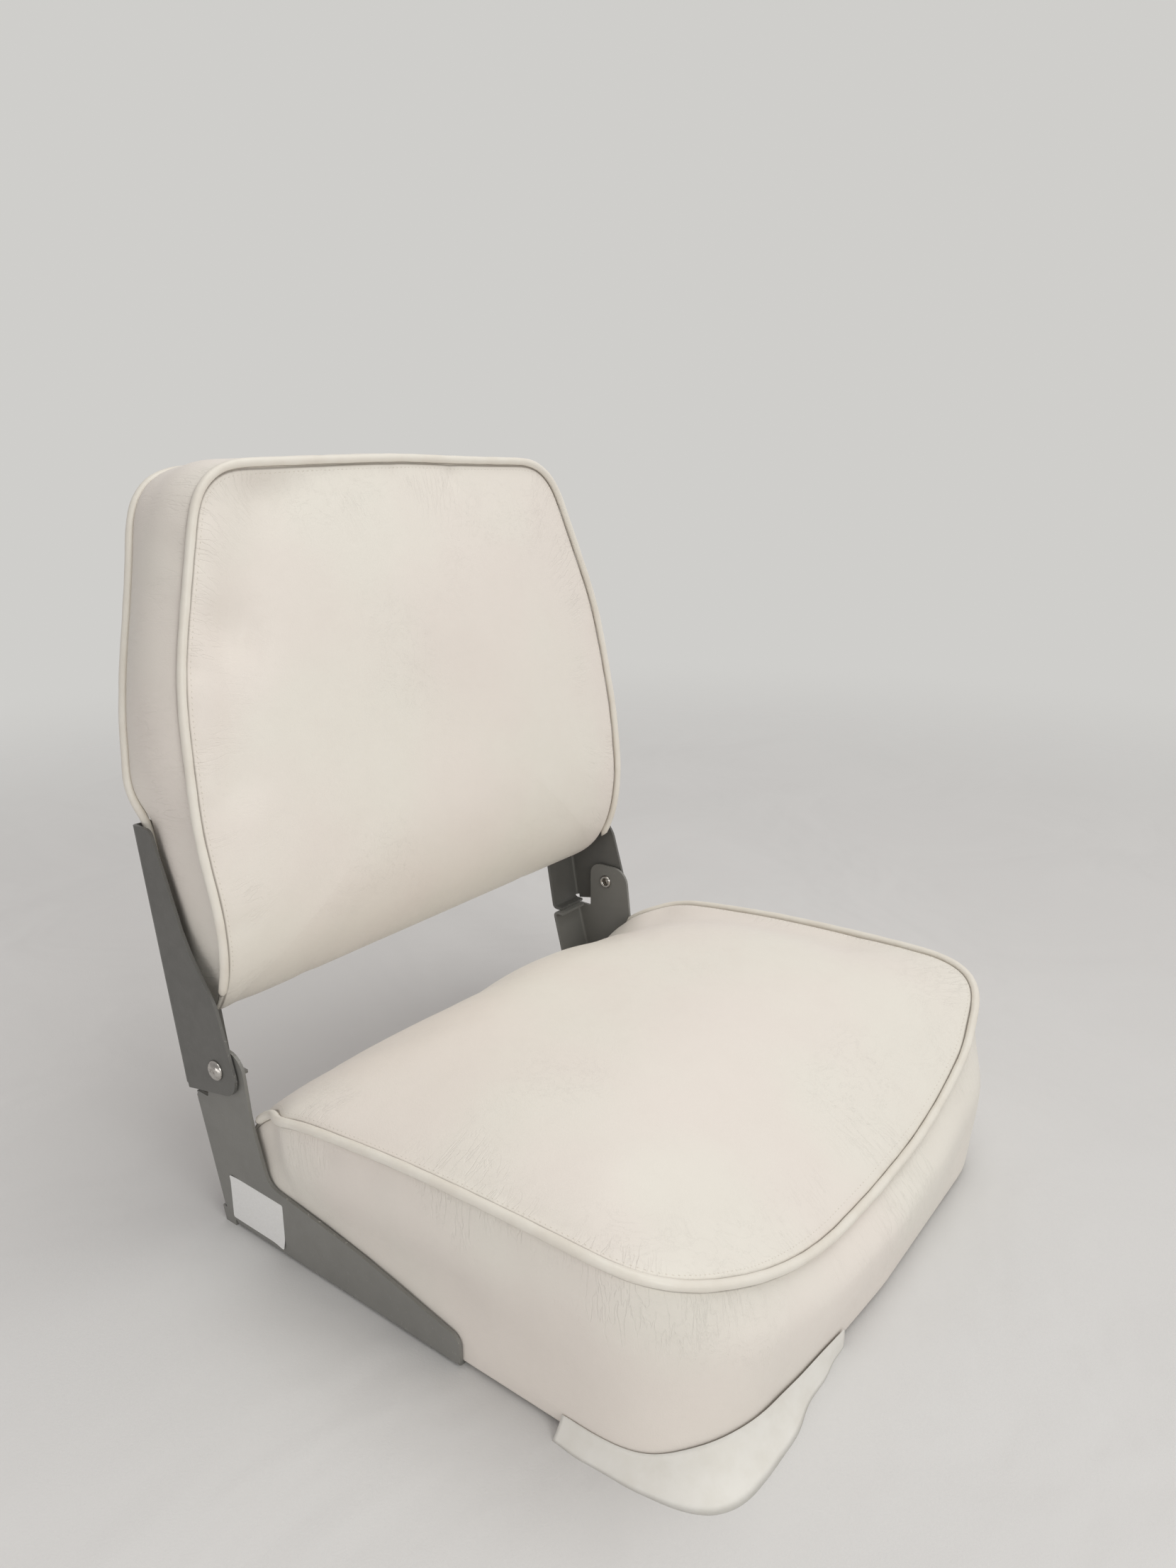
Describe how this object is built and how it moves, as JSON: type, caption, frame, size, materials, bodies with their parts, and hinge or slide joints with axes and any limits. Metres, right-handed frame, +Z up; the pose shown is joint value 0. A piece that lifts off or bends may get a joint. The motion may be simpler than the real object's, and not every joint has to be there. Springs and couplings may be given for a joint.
{
  "type": "folding boat seat",
  "caption": "Low-back folding boat seat: welted box cushions on hidden moulded bases, joined by folded sheet-steel hinge brackets so the back folds forward.",
  "frame": {"origin": "middle of the square bolt pattern under the base, on the plane that the base rests on", "axes": "+Z up, -Y towards the sitter's front, +X to the sitter's left; the hinge runs along X"},
  "size_m": [0.4178, 0.4568, 0.4699],
  "materials": {
    "vinyl": "warm white grained marine vinyl",
    "piping": "smooth off-white vinyl piping",
    "hem": "thin cool white vinyl",
    "foam": "upholstery foam",
    "moulded_plastic": "black moulded plastic",
    "grey_paint": "satin grey paint on folded sheet steel",
    "rivet_steel": "bright rivet steel",
    "zinc": "zinc-plated steel",
    "nylon": "dark nylon"
  },
  "bodies": {
    "seat": {"seat_pan": "moulded_plastic", "seat_foam": "foam", "seat_top_panel": "vinyl", "seat_boxing": "vinyl", "seat_welt": "piping", "cover_hem_strip": "hem", "lower_bracket_left": "grey_paint", "lower_bracket_right": "grey_paint", "hinge_rivet_left": "rivet_steel", "hinge_rivet_right": "rivet_steel", "hinge_washer_left": "nylon", "hinge_washer_right": "nylon", "base_screw_left_1": "zinc", "base_screw_left_2": "zinc", "base_screw_left_3": "zinc", "base_screw_right_1": "zinc", "base_screw_right_2": "zinc", "base_screw_right_3": "zinc", "tee_nut_1": "zinc", "tee_nut_2": "zinc", "tee_nut_3": "zinc", "tee_nut_4": "zinc"},
    "back": {"back_board": "moulded_plastic", "back_foam": "foam", "back_front_panel": "vinyl", "back_boxing": "vinyl", "back_rear_panel": "vinyl", "back_front_welt": "piping", "back_rear_welt": "piping", "upper_bracket_left": "grey_paint", "upper_bracket_right": "grey_paint", "back_screw_left_1": "zinc", "back_screw_left_2": "zinc", "back_screw_left_3": "zinc", "back_screw_right_1": "zinc", "back_screw_right_2": "zinc", "back_screw_right_3": "zinc"}
  },
  "joints": [
    {"name": "back_fold", "type": "hinge", "parent": "seat", "child": "back", "pos_m": [0, 0.165, 0.113], "axis": [1, 0, 0], "range_deg": [0, 66]}
  ]
}
